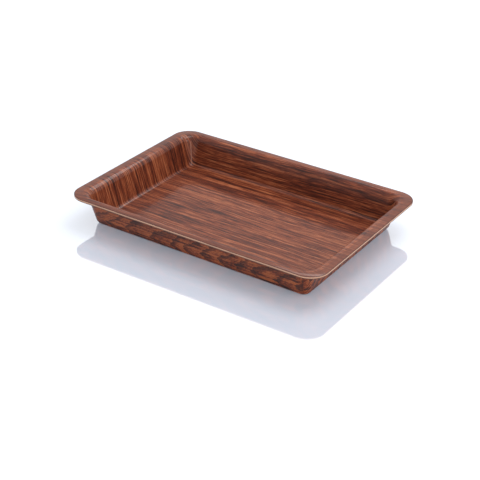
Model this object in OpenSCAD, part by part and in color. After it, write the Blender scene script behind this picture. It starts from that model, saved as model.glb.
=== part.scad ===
// Moulded laminate serving tray: a flat rim rolling over into steep walls and a flat floor,
// pressed in one piece from a stack of thin sheets.
// Millimetres. +X runs along the length, +Y across, +Z up.
// The origin is the centre of the underside, where the tray rests.

/* [Overall] */
// Length over the rim
tray_length = 400; // [260:1:600]
// Width over the rim
tray_width = 281; // [200:1:450]
// Height from the underside to the top of the rim
tray_height = 46; // [36:1:70]

/* [Rim] */
// Width of the flat part of the rim at the two ends, from the cut edge to the roll
end_rim_flat = 11.2; // [6:0.1:25]
// Width of the flat part of the rim along the two sides
side_rim_flat = 7.6; // [6:0.1:25]
// Radius of the outline at the four corners
rim_corner_r = 27; // [14:0.5:40]
// Radius of the roll between rim and wall on the outside of the tray
under_roll_r = 6.6; // [0.4:0.1:8]
// Rounding sanded on to both edges of the cut
edge_round = 0.6; // [0.2:0.05:1]

/* [Wall and foot] */
// How far the walls come in for every 24 mm of height
wall_lean = 7; // [3:0.5:13]
// Radius of the foot between wall and floor on the inside of the tray
foot_r = 5.5; // [3:0.1:9]
// Radius left at the corners of the flat floor
floor_corner_r = 4; // [1:0.1:12]

/* [Sheets] */
// Thickness of the inside face sheet
face_t = 0.45; // [0.3:0.05:0.8]
// Thickness of one core ply
core_t = 0.5; // [0.3:0.05:0.7]
// Thickness of the outside back sheet
back_t = 0.45; // [0.3:0.05:0.8]

/* [Hidden] */
$fn = 96;

// Core plies between the two outer sheets, and the thickness of the whole laminate
core_count = 5;
total_t = face_t + core_count * core_t + back_t;

// Sections are drawn as (reach, height). Reach is the distance out from the upright lines
// that the section turns round at the corners.
// Roll radius on the inside of the tray, larger than the outside one by the laminate
roll_r = under_roll_r + total_t;
// Direction square to the wall, pointing out of the face into the tray
lean_height = 24;
wall_normal = [-lean_height, wall_lean] / norm([lean_height, wall_lean]);
// Direction from the centre of a rounding to the sharp corner that it replaces, between a
// level part and the wall, for a radius of 1
to_corner = [wall_normal.x / (1 + wall_normal.y), 1];
// Height taken up by the straight part of the wall
wall_rise = tray_height - total_t - (roll_r + foot_r) * (1 - wall_normal.y);
// Centres of the foot and of the roll, shared by every sheet of the stack
foot_centre = [floor_corner_r, total_t + foot_r];
roll_centre = [
    floor_corner_r - (roll_r + foot_r) * wall_normal.x + wall_rise * wall_lean / lean_height,
    tray_height - roll_r
];
// Turning lines of the section, out from the middle of the tray, in whole hundredths
turn = [
    round(100 * (tray_length / 2 - end_rim_flat - roll_centre.x)) / 100,
    round(100 * (tray_width / 2 - side_rim_flat - roll_centre.x)) / 100
];
// Turning lines of the trimmed outline
outline_turn = [tray_length / 2 - rim_corner_r, tray_width / 2 - rim_corner_r];
// Reach of the sheets before they are trimmed, past the farthest corner of the outline
untrimmed_reach = norm([tray_length / 2, tray_width / 2] - turn);
// Top of the open space used to draw a section, clear above the rim
open_top = tray_height + total_t;
// How far a rounding runs past the flat parts on both sides of it, so that it crosses them
// cleanly and does not only touch them
crossing = 0.001;

// What is taken off the sharp corner between a level part and the wall so that it is left round.
// The kite it is cut from reaches clear past the corner.
// side is 1 for the corner of the roll, above its centre, and -1 for that of the foot, below it.
module corner_waste(centre, radius, side) {
    past_corner = 1.2 * side * radius;
    difference() {
        polygon([
            centre,
            centre + past_corner * [0, 1],
            centre + past_corner * to_corner,
            centre + past_corner * wall_normal
        ]);
        translate(centre) circle(r = radius + crossing);
    }
}

// Section of the open space above a surface lying this deep below the face.
// Depth is measured square to the sheet, so every sheet keeps its thickness all the way round.
module above(depth) {
    difference() {
        polygon([
            [untrimmed_reach, open_top],
            [untrimmed_reach, tray_height - depth],
            roll_centre + (roll_r - depth) * to_corner,
            foot_centre - (foot_r + depth) * to_corner,
            [0, total_t - depth],
            [0, open_top]
        ]);
        corner_waste(foot_centre, foot_r + depth, -1);
    }
    corner_waste(roll_centre, roll_r - depth, 1);
}

// Section of the cut edge of the rim with its two edges sanded round
module cut_edge() {
    underside = tray_height - total_t;
    translate([rim_corner_r - 2 * edge_round, underside + edge_round])
        square([2 * edge_round, total_t - 2 * edge_round]);
    for (height = [underside + edge_round, tray_height - edge_round])
        translate([rim_corner_r - edge_round, height]) circle(r = edge_round);
}

// Carries a section round the tray: four straight runs joined by quarter turns about the
// upright lines at these distances from the middle
module carried_round(lines) {
    for (end = [0, 1]) mirror([end, 0, 0])
        translate([lines.x, lines.y, 0]) rotate([90, 0, 0])
            linear_extrude(height = 2 * lines.y) children();
    for (side = [0, 1]) mirror([0, side, 0])
        translate([-lines.x, lines.y, 0]) rotate([90, 0, 90])
            linear_extrude(height = 2 * lines.x) children();
    for (end = [0, 1], side = [0, 1]) mirror([end, 0, 0]) mirror([0, side, 0])
        translate([lines.x, lines.y, 0]) rotate_extrude(angle = 90) children();
}

// Flat panel whose rounded corners are centred on the upright lines at these distances
module rounded_panel(lines, corner_r, bottom, top) {
    translate([0, 0, bottom]) linear_extrude(height = top - bottom) {
        square(2 * [lines.x + corner_r, lines.y], center = true);
        square(2 * [lines.x, lines.y + corner_r], center = true);
        for (x = [-lines.x, lines.x], y = [-lines.y, lines.y])
            translate([x, y]) circle(r = corner_r);
    }
}

// One pressed sheet of the stack, between two depths below the face, trimmed to the rim outline
module pressed_sheet(from_depth, thickness) {
    to_depth = from_depth + thickness;
    intersection() {
        union() {
            carried_round(turn) difference() {
                above(to_depth);
                above(from_depth);
            }
            rounded_panel(turn, floor_corner_r / 2, total_t - to_depth, total_t - from_depth);
        }
        union() {
            carried_round(outline_turn) cut_edge();
            rounded_panel(outline_turn, rim_corner_r - edge_round, 0, tray_height);
        }
    }
}

// Dark rosewood sheet seen inside the tray and on top of the rim
module face_sheet() {
    color("sienna") pressed_sheet(0, face_t);
}

// One pale core ply, counted from 1 next to the face sheet
module core_ply(place) {
    color("burlywood") pressed_sheet(face_t + (place - 1) * core_t, core_t);
}

// Dark rosewood sheet seen outside the tray, which the tray rests on
module back_sheet() {
    color("saddlebrown") pressed_sheet(face_t + core_count * core_t, back_t);
}

face_sheet();
core_ply(1);  // core_ply_1
core_ply(2);  // core_ply_2
core_ply(3);  // core_ply_3
core_ply(4);  // core_ply_4
core_ply(5);  // core_ply_5
back_sheet();
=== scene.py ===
import math

import bpy
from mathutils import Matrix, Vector


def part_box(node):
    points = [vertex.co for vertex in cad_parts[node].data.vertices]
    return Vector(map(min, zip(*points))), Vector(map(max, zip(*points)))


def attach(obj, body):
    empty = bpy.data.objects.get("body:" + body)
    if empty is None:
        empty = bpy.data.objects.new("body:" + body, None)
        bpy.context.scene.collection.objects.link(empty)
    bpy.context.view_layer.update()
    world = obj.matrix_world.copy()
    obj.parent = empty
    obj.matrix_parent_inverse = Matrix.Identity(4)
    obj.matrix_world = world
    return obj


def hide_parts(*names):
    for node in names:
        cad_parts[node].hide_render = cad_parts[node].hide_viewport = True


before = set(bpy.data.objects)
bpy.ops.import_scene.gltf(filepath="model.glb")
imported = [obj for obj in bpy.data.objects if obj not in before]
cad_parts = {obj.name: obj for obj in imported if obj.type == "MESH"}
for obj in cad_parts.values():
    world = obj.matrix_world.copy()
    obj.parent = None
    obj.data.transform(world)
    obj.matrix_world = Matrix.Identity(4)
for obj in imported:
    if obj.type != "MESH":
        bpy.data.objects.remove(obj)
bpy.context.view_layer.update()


# ---------------------------------------------------------------------------------------
# Face sheet: straight-grained rosewood over the floor, the walls and the top of the rim,
# stained, filled and coated with a clear satin resin. The tray is seven thin sheets, glued
# and pressed in one mould, so the rule that shapes this sheet shapes them all.
# ---------------------------------------------------------------------------------------

class Strand:
    """A value passed between nodes. Arithmetic on strands adds Math nodes to their tree."""

    def __init__(self, tree, socket=None):
        self.tree, self.socket = tree, socket

    def node(self, kind, settings=(), values=(), out=0):
        """Adds any node: its settings first, then the values or strands of its sockets."""
        made = self.tree.nodes.new(kind)
        for name, value in dict(settings).items():
            if name == "stops":
                stops = made.color_ramp.elements
                while len(stops) < len(value):
                    stops.new(0.5)
                for stop, (place, colour) in zip(stops, value):
                    stop.position, stop.color = place, (*colour, 1)
            else:
                setattr(made, name, value)
        for name, value in dict(values).items():
            socket = made.inputs[name]
            if isinstance(value, Strand):
                self.tree.links.new(value.socket, socket)
            else:
                socket.default_value = value
        return Strand(self.tree, made.outputs[out])

    def math(self, operation, *others):
        return self.node("ShaderNodeMath", {"operation": operation}, enumerate((self, *others)))

    def __add__(self, other):
        return self.math("ADD", other)

    def __mul__(self, other):
        return self.math("MULTIPLY", other)

    def __sub__(self, other):
        return self.math("SUBTRACT", other)

    def __truediv__(self, other):
        return self.math("DIVIDE", other)

    def __rsub__(self, other):
        return self * -1 + other

    __radd__, __rmul__ = __add__, __mul__

    def absolute(self):
        return self.math("ABSOLUTE")

    def clamp(self, low=0.0, high=1.0):
        return self.math("MAXIMUM", low).math("MINIMUM", high)

    def over(self, limit):
        """1 where this is above the limit and 0 elsewhere."""
        return self.math("GREATER_THAN", limit)

    def pick(self, low, high):
        """low where this is 0, high where it is 1."""
        return low + self * (high - low)

    def rise(self, level, steepness):
        """0 up to a level, and from there up to 1 at a steepness."""
        return ((self - level) * steepness).clamp()

    def line(self, level, half_width, steepness):
        """1 where this is at a level, fading to 0 at the half width on both sides of it."""
        return ((half_width - (self - level).absolute()) * steepness).clamp()


# the stack from the top down, and the depths at which each sheet begins and ends
STACK = ["face_sheet", "core_ply_1", "core_ply_2", "core_ply_3", "core_ply_4", "core_ply_5",
         "back_sheet"]
face_low, face_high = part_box("face_sheet")
tray_length, tray_width, tray_height = face_high[0] * 2, face_high[1] * 2, face_high[2]
tops = [tray_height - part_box(node)[1][2] for node in STACK]
laminate = tops[1] + face_low[2]
depths = dict(zip(STACK, zip(tops, tops[1:] + [laminate])))

# the mould: a flat rim, a roll, a leaning wall, a tight foot and a flat floor
end_rim_flat = 0.0112
side_rim_flat = 0.0076
outline_r = 0.027
under_roll_r = 0.0066
foot_r = 0.0055
floor_corner_r = 0.004
edge_round = 0.0006
wall_tilt = math.atan2(24, 7)
roll_r = laminate + under_roll_r
wall_rise = tray_height - laminate - (roll_r + foot_r) * (1 - math.cos(wall_tilt))
roll_reach = (floor_corner_r + (roll_r + foot_r) * math.sin(wall_tilt)
              + wall_rise / math.tan(wall_tilt))

MOULD_SIZES = {
    "Turn x": tray_length / 2 - end_rim_flat - roll_reach,
    "Turn y": tray_width / 2 - side_rim_flat - roll_reach,
    "Outline x": tray_length / 2 - outline_r,
    "Outline y": tray_width / 2 - outline_r,
    "Outline radius": outline_r,
    "Height": tray_height,
    "Laminate": laminate,
    "Roll radius": roll_r,
    "Roll reach": roll_reach,
    "Foot radius": foot_r,
    "Foot reach": floor_corner_r,
    "Wall tilt": wall_tilt,
    "Wall length": wall_rise / math.sin(wall_tilt),
    "Edge rounding": edge_round,
}
ARC_STEPS = 14
TURN_STEPS = 24


def sheet_rule():
    """The rule of one sheet as a node tree. It also marks each point with the attribute
    "sheet": where it lies on the opened-out flat sheet, and in Z how far out it lies over
    the flat rim."""
    tree = bpy.data.node_groups.new("pressed_sheet", "GeometryNodeTree")
    for name in [*MOULD_SIZES, "Upper depth", "Lower depth"]:
        tree.interface.new_socket(name=name, in_out="INPUT", socket_type="NodeSocketFloat")
    for name in ["Arc steps", "Turn steps"]:
        tree.interface.new_socket(name=name, in_out="INPUT", socket_type="NodeSocketInt")
    tree.interface.new_socket(name="Finish", in_out="INPUT", socket_type="NodeSocketMaterial")
    tree.interface.new_socket(name="Sheet", in_out="OUTPUT", socket_type="NodeSocketGeometry")
    given = tree.nodes.new("NodeGroupInput")
    size = {s.name: Strand(tree, s) for s in given.outputs if s.name}
    start = Strand(tree)
    height, thick = size["Height"], size["Laminate"]
    roll, foot = size["Roll radius"], size["Foot radius"]
    tilt, arc, turn = size["Wall tilt"], size["Arc steps"], size["Turn steps"]
    nudge = 1e-4
    least = 1e-6

    # one grid: its rows follow the section over the face, round the cut edge and back
    # under; its columns go round the four corners, and the straight runs lie between them.
    # A bend takes a row at each end of each step, and a guard row before and after it
    edge_rows = 5
    bend_rows = arc + 3
    half_rows = bend_rows * 2 + 2
    columns = (turn + 1) * 4
    grid = start.node("GeometryNodeMeshGrid", {}, {
        "Size X": 1.0, "Size Y": 1.0,
        "Vertices X": half_rows * 2 + edge_rows, "Vertices Y": columns + 1})
    index = start.node("GeometryNodeInputIndex")
    row = (index / (columns + 1) + nudge).math("FLOOR")
    column = (index - row * (columns + 1)).math("MODULO", columns)

    # where the column stands: the upright axis of its corner, and the way it faces
    quarter = (column / (turn + 1) + nudge).math("FLOOR")
    facing = (quarter + (column - quarter * (turn + 1)) / turn) * (math.pi / 2)
    diagonal = (quarter + 0.5) * (math.pi / 2)
    axis_x = diagonal.math("COSINE") * math.sqrt(2) * size["Turn x"]
    axis_y = diagonal.math("SINE") * math.sqrt(2) * size["Turn y"]
    out_x, out_y = facing.math("COSINE"), facing.math("SINE")

    # reach of the trimmed outline from that axis: to the straight edge, or to the corner arc
    # where the straight edges have already turned
    outline = size["Outline radius"]
    way_x = out_x.absolute().math("MAXIMUM", least)
    way_y = out_y.absolute().math("MAXIMUM", least)
    gap_x, gap_y = size["Outline x"] - size["Turn x"], size["Outline y"] - size["Turn y"]
    to_edge = ((gap_x + outline) / way_x).math("MINIMUM", (gap_y + outline) / way_y)
    aside = gap_x * way_y - gap_y * way_x
    to_arc = gap_x * way_x + gap_y * way_y + (
        outline * outline - aside * aside).math("MAXIMUM", 0.0).math("SQRT")
    in_turn = (to_edge * way_x - gap_x).over(0.0) * (to_edge * way_y - gap_y).over(0.0)
    to_outline = in_turn.pick(to_edge, to_arc)

    # where the row lies in the section: 0 at the cut edge, then the roll, then the foot, and
    # last the middle of the floor
    along = (half_rows - 1 - row).math("MAXIMUM", row - half_rows - edge_rows)
    along = along.math("MAXIMUM", 0.0)
    through = ((row - half_rows + 1) / (edge_rows + 1)).clamp()
    depth = through.pick(size["Upper depth"], size["Lower depth"])
    in_edge = 1 - along.over(0.5)
    in_foot = along.over(bend_rows + 0.5)
    in_middle = along.over(bend_rows * 2 + 0.5)

    # the bend is an arc about its own centre, with a guard row in the flat on each side of
    # it, so that the flats stay flat when the sheet is shaded smooth
    guard_gap = 0.001
    step = (along - 2 - in_foot * bend_rows).clamp(-1.0, arc + 1)
    part = (step / arc).clamp()
    guard = (step - part * arc) * guard_gap
    bend = tilt * in_foot.pick(part, 1 - part)
    radius = in_foot.pick(roll - depth, (foot + depth) * -1)
    reach = (in_foot.pick(size["Roll reach"], size["Foot reach"])
             - radius * bend.math("SINE") - guard * bend.math("COSINE"))
    level = (in_foot.pick(height - roll, thick + foot)
             + radius * bend.math("COSINE") - guard * bend.math("SINE"))

    # the cut edge is sanded round on both sides, and the innermost row closes on the axis
    rounding = size["Edge rounding"]
    bite = rounding - depth.math("MINIMUM", thick - depth).math("MINIMUM", rounding)
    sanded = rounding - (rounding * rounding - bite * bite).math("MAXIMUM", 0.0).math("SQRT")
    reach = in_middle.pick(in_edge.pick(reach, to_outline - sanded), 0.0)

    # distance from the axis along the opened-out sheet
    wall_top = size["Foot reach"] + foot * tilt + size["Wall length"]
    opened = in_foot.pick(wall_top + roll * (tilt - bend), size["Foot reach"] + foot * bend)
    opened = in_edge.pick(opened - guard, wall_top + roll * tilt + reach - size["Roll reach"])
    opened = in_middle.pick(opened, 0.0)

    def place(distance, z):
        return start.node("ShaderNodeCombineXYZ", {}, {
            "X": axis_x + out_x * distance, "Y": axis_y + out_y * distance, "Z": z})

    def marked(geometry, coordinates):
        return start.node(
            "GeometryNodeStoreNamedAttribute", {"data_type": "FLOAT_VECTOR", "domain": "POINT"},
            {"Geometry": geometry, "Name": "sheet", "Value": coordinates})

    carried = marked(grid, place(opened, in_edge))
    carried = start.node("GeometryNodeSetPosition", {},
                         {"Geometry": carried, "Position": place(reach, level)})

    # the grid leaves the middle of the floor open, so a panel closes it above and below
    pieces = [carried]
    for side, flip in (("Upper depth", False), ("Lower depth", True)):
        panel = start.node("GeometryNodeMeshGrid", {}, {
            "Size X": size["Turn x"] * 2, "Size Y": size["Turn y"] * 2,
            "Vertices X": 2, "Vertices Y": 2})
        panel = marked(panel, start.node("GeometryNodeInputPosition"))
        lift = start.node("ShaderNodeCombineXYZ", {}, {"Z": thick - size[side]})
        panel = start.node("GeometryNodeSetPosition", {}, {"Geometry": panel, "Offset": lift})
        if flip:
            panel = start.node("GeometryNodeFlipFaces", {}, {"Mesh": panel})
        pieces.append(panel)
    join = tree.nodes.new("GeometryNodeJoinGeometry")
    for piece in reversed(pieces):
        tree.links.new(piece.socket, join.inputs[0])
    weld_distance = 2e-6
    sheet = start.node("GeometryNodeMergeByDistance", {},
                       {"Geometry": Strand(tree, join.outputs[0]), "Distance": weld_distance})

    # smooth over the bends, crisp at the cut edge
    crease_angle = math.radians(40)
    sheet = start.node("GeometryNodeSetShadeSmooth", {"domain": "FACE"},
                       {"Geometry": sheet, "Shade Smooth": True})
    angle = start.node("GeometryNodeInputMeshEdgeAngle")
    sheet = start.node("GeometryNodeSetShadeSmooth", {"domain": "EDGE"}, {
        "Geometry": sheet, "Selection": angle.over(crease_angle), "Shade Smooth": False})
    sheet = start.node("GeometryNodeRealizeInstances", {}, {"Geometry": sheet})
    sheet = start.node("GeometryNodeSetMaterial", {},
                       {"Geometry": sheet, "Material": size["Finish"]})
    outlet = tree.nodes.new("NodeGroupOutput")
    tree.links.new(sheet.socket, outlet.inputs[0])
    return tree


SHEET_RULE = sheet_rule()


def press(name, node, finish):
    """Presses one sheet at its own depth in the stack and leaves it as a plain mesh."""
    blank = bpy.data.objects.new(name + "_blank", bpy.data.meshes.new(name + "_blank"))
    bpy.context.scene.collection.objects.link(blank)
    rule = blank.modifiers.new("rule", "NODES")
    rule.node_group = SHEET_RULE
    upper, lower = depths[node]
    settings = {**MOULD_SIZES, "Upper depth": upper, "Lower depth": lower,
                "Arc steps": ARC_STEPS, "Turn steps": TURN_STEPS, "Finish": finish}
    for socket in SHEET_RULE.interface.items_tree:
        if socket.in_out == "INPUT":
            rule[socket.identifier] = settings[socket.name]
    bpy.context.view_layer.update()
    pressed = blank.evaluated_get(bpy.context.evaluated_depsgraph_get())
    piece = bpy.data.objects.new(name, bpy.data.meshes.new_from_object(pressed))
    bpy.context.scene.collection.objects.link(piece)
    bpy.data.objects.remove(blank)
    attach(piece, "root")
    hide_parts(node)


def blank_wood(name):
    """A new wood finish: its material, a starting strand and its principled shader."""
    material = bpy.data.materials.new(name)
    material.use_nodes = True
    material.node_tree.nodes.clear()
    start = Strand(material.node_tree)
    shader = material.node_tree.nodes.new("ShaderNodeBsdfPrincipled")
    outlet = material.node_tree.nodes.new("ShaderNodeOutputMaterial")
    material.node_tree.links.new(shader.outputs[0], outlet.inputs["Surface"])
    return material, start, shader


def feed(shader, **strands):
    """Joins strands, or sets plain values, on the shader's sockets."""
    for name, value in strands.items():
        socket = shader.inputs[name.replace("_", " ")]
        if isinstance(value, Strand):
            shader.id_data.links.new(value.socket, socket)
        else:
            socket.default_value = value


def opened_sheet(start):
    """Where a point lies on the opened-out sheet, in metres along and across the grain, and
    how far out over the flat rim it lies: 0 at the roll, 1 at the cut edge."""
    place = start.node("ShaderNodeAttribute", {"attribute_name": "sheet"}, out=1)
    split = start.node("ShaderNodeSeparateXYZ", {}, {"Vector": place}).socket.node
    return [Strand(start.tree, part) for part in split.outputs]


def figure(start, along, across, layer, detail=0.0, rough=0.5):
    """Noise in cells: along and across count cells of the figure in each direction."""
    where = start.node("ShaderNodeCombineXYZ", {}, {"X": along, "Y": across, "Z": layer})
    return start.node("ShaderNodeTexNoise", {"noise_dimensions": "3D"}, {
        "Vector": where, "Scale": 1.0, "Detail": detail, "Roughness": rough})


def weighed(middle, shares):
    """One tone about a middle value, swung by each figure in its own share."""
    tone = middle
    for part, share in shares:
        tone = tone + (part - 0.5) * share
    return tone


def ramp(start, value, stops):
    """The colour at a value on a row of colour stops."""
    return start.node("ShaderNodeValToRGB", {"stops": stops}, {"Fac": value})


def mixed(start, share, first, second):
    """Two colours mixed by a share from 0 to 1."""
    return start.node("ShaderNodeMix", {"data_type": "RGBA", "blend_type": "MIX"},
                      {0: share, 6: first, 7: second}, out=2)


def satin_coat(start, shader, colour, fibre, streak, pore_mask, weight, roughness):
    """Stained wood under clear resin that sinks a little into the pores and fibres."""
    relief = start.node("ShaderNodeBump", {}, {
        "Strength": 0.35, "Distance": 0.0003,
        "Height": fibre * 0.5 - pore_mask * 0.8 + streak * 0.4})
    feed(shader, Base_Color=colour, Roughness=0.42 + fibre * 0.16 + pore_mask * 0.1,
         Normal=relief, Specular_IOR_Level=0.12, Coat_Weight=weight, Coat_Roughness=roughness)


def corner_highlight_mask(start):
    """1 along the middle of the four wall corners: the mask of a painted highlight down each
    corner.
    """
    line_fade = 700.0
    foot_end, foot_fade = 0.005, 900.0
    roll_level, roll_fade = 0.040, 400.0
    place = start.node("ShaderNodeTexCoord", out=3)
    spread = start.node("ShaderNodeSeparateXYZ", {}, {"Vector": place}).socket.node.outputs
    past_x = Strand(start.tree, spread["X"]).absolute() - MOULD_SIZES["Turn x"]
    past_y = Strand(start.tree, spread["Y"]).absolute() - MOULD_SIZES["Turn y"]
    near = (1.0 - (past_x - past_y).absolute() * line_fade).clamp()
    past_foot = past_x.math("MINIMUM", past_y).rise(foot_end, foot_fade)
    below_roll = ((roll_level - Strand(start.tree, spread["Z"])) * roll_fade).clamp()
    return near * past_foot * below_roll


ROSEWOOD_TONES = [
    (0.08, (0.026, 0.0046, 0.0024)),
    (0.32, (0.084, 0.0145, 0.0056)),
    (0.50, (0.152, 0.0300, 0.0108)),
    (0.68, (0.230, 0.0550, 0.0200)),
    (0.92, (0.330, 0.1050, 0.0440)),
]
DARK_GRAIN = (0.040, 0.0070, 0.0030, 1)
OPEN_PORE = (0.014, 0.0035, 0.0022, 1)
EVEN_RIM = (0.120, 0.0300, 0.0150, 1)
DARK_CUT_EDGE = (0.030, 0.0080, 0.0050, 1)
PAINTED_CORNER_HIGHLIGHT = (0.42, 0.200, 0.140, 1)

rosewood, start, shader = blank_wood("straight_rosewood")
along, across, outward = opened_sheet(start)

# the grain wanders in slow bends with small waves on them
slow_bend = figure(start, along * 3.0, across * 9.0, layer=3.1, detail=1.0)
across = across + (slow_bend - 0.5) * 0.016
small_wave = figure(start, along * 18.0, across * 40.0, layer=7.7, detail=1.0)
across = across + (small_wave - 0.5) * 0.0040

# from broad bands down to single fibres and pores, in cells a metre
broad = figure(start, along * 1.3, across * 28.0, layer=0.3, detail=1.0)
stripe = figure(start, along * 3.5, across * 120.0, layer=5.0, detail=1.0, rough=0.6)
streak = figure(start, along * 7.0, across * 360.0, layer=9.0, detail=1.0, rough=0.7)
fibre = figure(start, along * 32.0, across * 850.0, layer=12.0, detail=2.0, rough=0.7)
pores = figure(start, along * 75.0, across * 1300.0, layer=14.0, detail=1.0)
mottle = figure(start, along * 22.0, across * 50.0, layer=17.0, detail=1.0)
tone = weighed(0.5, [(broad, 0.85), (stripe, 0.75), (streak, 1.35), (fibre, 2.0),
                     (mottle, 0.45)])
colour = ramp(start, tone, ROSEWOOD_TONES)

# dark lines and open pores, then the calmer rim, darker towards the cut edge, and a painted
# highlight down the middle of each wall corner
dark_line = stripe.line(0.47, 0.020, 60.0)
dark_hair = streak.line(0.44, 0.035, 40.0)
pore_mask = pores.rise(0.60, 9.0)
colour = mixed(start, dark_line * 0.32, colour, DARK_GRAIN)
colour = mixed(start, dark_hair * 0.38, colour, DARK_GRAIN)
colour = mixed(start, pore_mask * 0.7, colour, OPEN_PORE)
colour = mixed(start, (outward * 9.0).clamp() * 0.62, colour, EVEN_RIM)
# darker towards the cut edge of the rim
colour = mixed(start, outward.rise(0.94, 16.0) * 0.8, colour, DARK_CUT_EDGE)
# painted highlight: a pale line down the middle of each wall corner, standing in for the light a
# tight corner catches
colour = mixed(start, corner_highlight_mask(start) * 0.7, colour, PAINTED_CORNER_HIGHLIGHT)
satin_coat(start, shader, colour, fibre, streak, pore_mask, weight=0.41, roughness=0.11)
press("face_panel", "face_sheet", rosewood)


# ---------------------------------------------------------------------------------------
# Core: five pale plies, glued crosswise to one another. Only their edges show, as the thin
# light line of the cut rim, which is sawn, sanded and sealed. The lowest two are darker.
# ---------------------------------------------------------------------------------------

CORE_TONES = {
    "core_ply_1": (0.60, 0.330, 0.215),
    "core_ply_2": (0.50, 0.270, 0.170),
    "core_ply_3": (0.54, 0.300, 0.190),
    "core_ply_4": (0.16, 0.066, 0.036),
    "core_ply_5": (0.09, 0.034, 0.018),
}
DARK_FIBRE = 0.62
PALE_FIBRE = 1.25

for ply, (node, tint) in enumerate(CORE_TONES.items(), start=1):
    core, start, shader = blank_wood("core_wood_%d" % ply)
    along, across = opened_sheet(start)[:2]
    if ply % 2 == 0:
        along, across = across, along
    fibre = figure(start, along * 60.0, across * 1400.0, layer=ply * 2.0, detail=3.0)
    patch = figure(start, along * 12.0, across * 40.0, layer=ply * 5.0, detail=2.0)
    darker = tuple(part * DARK_FIBRE for part in tint)
    paler = tuple(min(part * PALE_FIBRE, 1) for part in tint)
    colour = ramp(start, fibre * 0.6 + patch * 0.4, [(0.35, darker), (0.5, tint), (0.66, paler)])
    relief = start.node("ShaderNodeBump", {}, {
        "Strength": 0.3, "Distance": 0.0002, "Height": fibre})
    feed(shader, Base_Color=colour, Roughness=0.45 + fibre * 0.2, Normal=relief)
    press("core_sheet_%d" % ply, node, core)


# ---------------------------------------------------------------------------------------
# Back sheet: flat-cut rosewood on the outside and underside, with dark flame-shaped loops
# where the cut runs nearly level with the rings. It takes the same stain and clear coat.
# ---------------------------------------------------------------------------------------

FLAME_TONES = [
    (0.10, (0.018, 0.0034, 0.0018)),
    (0.34, (0.064, 0.0110, 0.0042)),
    (0.52, (0.130, 0.0220, 0.0070)),
    (0.70, (0.215, 0.0420, 0.0115)),
    (0.95, (0.320, 0.0820, 0.0240)),
]
RING_DARK = (0.018, 0.0034, 0.0022, 1)
RING_GAP = 0.030
CROWN_PLACE = 0.123
CROWN_SLOPE = 1.6
CROWN_ROUND = 0.003

flame_rosewood, start, shader = blank_wood("flame_rosewood")
along, across = opened_sheet(start)[:2]

# the rings: flames that point along the sheet, rounded at the crown, with ragged edges
drift = figure(start, along * 14.0, across * 12.0, layer=21.0, detail=1.0) - 0.5
ragged = figure(start, along * 60.0, across * 170.0, layer=27.0, detail=4.0, rough=0.7) - 0.5
aside = (across + CROWN_PLACE).math("PINGPONG", CROWN_PLACE)
aside = (aside * aside + CROWN_ROUND * CROWN_ROUND).math("SQRT")
rings = (along - aside * CROWN_SLOPE) / RING_GAP + drift * 2.2 + ragged * 1.1
ring_part = rings - rings.math("FLOOR")
ring_line = ((0.38 - ring_part) * 3.2).clamp() * (ring_part * 6.0).clamp()
thin_line = rings * 4.0 - (rings * 4.0).math("FLOOR")

streak = figure(start, along * 11.0 + drift * 2.0, across * 300.0,
                layer=33.0, detail=2.0, rough=0.7)
fibre = figure(start, along * 30.0, across * 900.0, layer=37.0, detail=2.0, rough=0.7)
mottle = figure(start, along * 40.0, across * 75.0, layer=39.0, detail=2.0)
pores = figure(start, along * 110.0, across * 900.0, layer=41.0, detail=1.0)
tone = weighed(0.60, [(ring_part, 0.30), (thin_line, 0.42), (streak, 1.9), (fibre, 1.8),
                      (mottle, 1.3)])
colour = ramp(start, tone, FLAME_TONES)

pore_mask = pores.rise(0.60, 9.0)
colour = mixed(start, (ring_line * (0.36 + mottle)).clamp(), colour, RING_DARK)
colour = mixed(start, pore_mask * 0.8, colour, OPEN_PORE)
satin_coat(start, shader, colour, fibre, streak, pore_mask, weight=0.24, roughness=0.12)
press("back_panel", "back_sheet", flame_rosewood)


# ---------------------------------------------------------------------------------------
# The studio: a pale polished floor that gives a weak mirror image, an even white room with
# three soft boxes, and the camera looking down at one corner of the tray.
# ---------------------------------------------------------------------------------------

FLOOR_REACH = 4.0
FLOOR_LEVEL = -0.0002
FLOOR_PALE = (0.69, 0.74, 0.84, 1)
FLOOR_GLOW = (0.20, 0.235, 0.28, 1)
MIRROR_SHARE = 0.44
WHITE = (1, 1, 1, 1)

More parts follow.
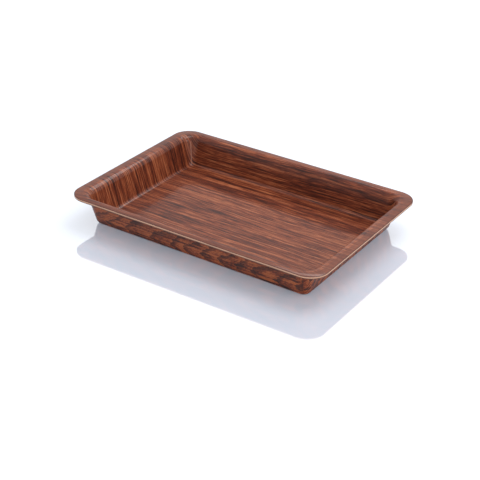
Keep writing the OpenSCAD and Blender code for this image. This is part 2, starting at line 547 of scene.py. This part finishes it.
polished = bpy.data.materials.new("polished_floor")
polished.use_nodes = True
tree = polished.node_tree
tree.nodes.clear()
start = Strand(tree)
matt = start.node("ShaderNodeBsdfDiffuse", {}, {"Color": FLOOR_PALE})
glow = start.node("ShaderNodeEmission", {}, {"Color": FLOOR_GLOW})
lit = start.node("ShaderNodeAddShader", {}, {0: matt, 1: glow})
mirror = start.node("ShaderNodeBsdfGlossy", {}, {"Color": WHITE, "Roughness": 0.03})
both = start.node("ShaderNodeMixShader", {}, {0: MIRROR_SHARE, 1: lit, 2: mirror})
outlet = tree.nodes.new("ShaderNodeOutputMaterial")
tree.links.new(both.socket, outlet.inputs["Surface"])

floor_corners = [(x * FLOOR_REACH, y * FLOOR_REACH, FLOOR_LEVEL)
                 for x, y in [(-1, -1), (1, -1), (1, 1), (-1, 1)]]
floor_mesh = bpy.data.meshes.new("floor")
floor_mesh.from_pydata(floor_corners, [], [(0, 1, 2, 3)])
floor = bpy.data.objects.new("floor", floor_mesh)
bpy.context.scene.collection.objects.link(floor)
floor.data.materials.append(polished)

world = bpy.data.worlds.new("white_room")
bpy.context.scene.world = world
world.use_nodes = True
room = world.node_tree.nodes["Background"]
room.inputs["Color"].default_value = WHITE
room.inputs["Strength"].default_value = 0.98


def softbox(name, centre, width, height, watts):
    """A rectangular soft light at a place, turned to the tray."""
    light = bpy.data.lights.new(name, "AREA")
    light.shape = "RECTANGLE"
    light.size = width
    light.size_y = height
    light.energy = watts
    box = bpy.data.objects.new(name, light)
    box.location = centre
    box.rotation_euler = (-Vector(centre)).to_track_quat("-Z", "Y").to_euler()
    bpy.context.scene.collection.objects.link(box)


softbox("overhead", (0.2, 0.40, 1.4), width=1.0, height=0.8, watts=9.0)
softbox("right_hand", (1.6, 0.0, 0.7), width=0.8, height=0.8, watts=5.5)
softbox("back_strip", (0.0, 1.25, 1.35), width=1.6, height=0.18, watts=4.5)

CAMERA_TILT = 61.051
CAMERA_ROLL = -1.228
CAMERA_TURN = 33.470
lens = bpy.data.cameras.new("camera")
lens.sensor_width = 36.0
lens.lens = 93.3
camera = bpy.data.objects.new("camera", lens)
camera.location = (0.8266, -1.2898, 0.8234)
camera.rotation_euler = [math.radians(part) for part in (CAMERA_TILT, CAMERA_ROLL, CAMERA_TURN)]
bpy.context.scene.collection.objects.link(camera)
bpy.context.scene.camera = camera
bpy.context.scene.view_settings.view_transform = "Standard"
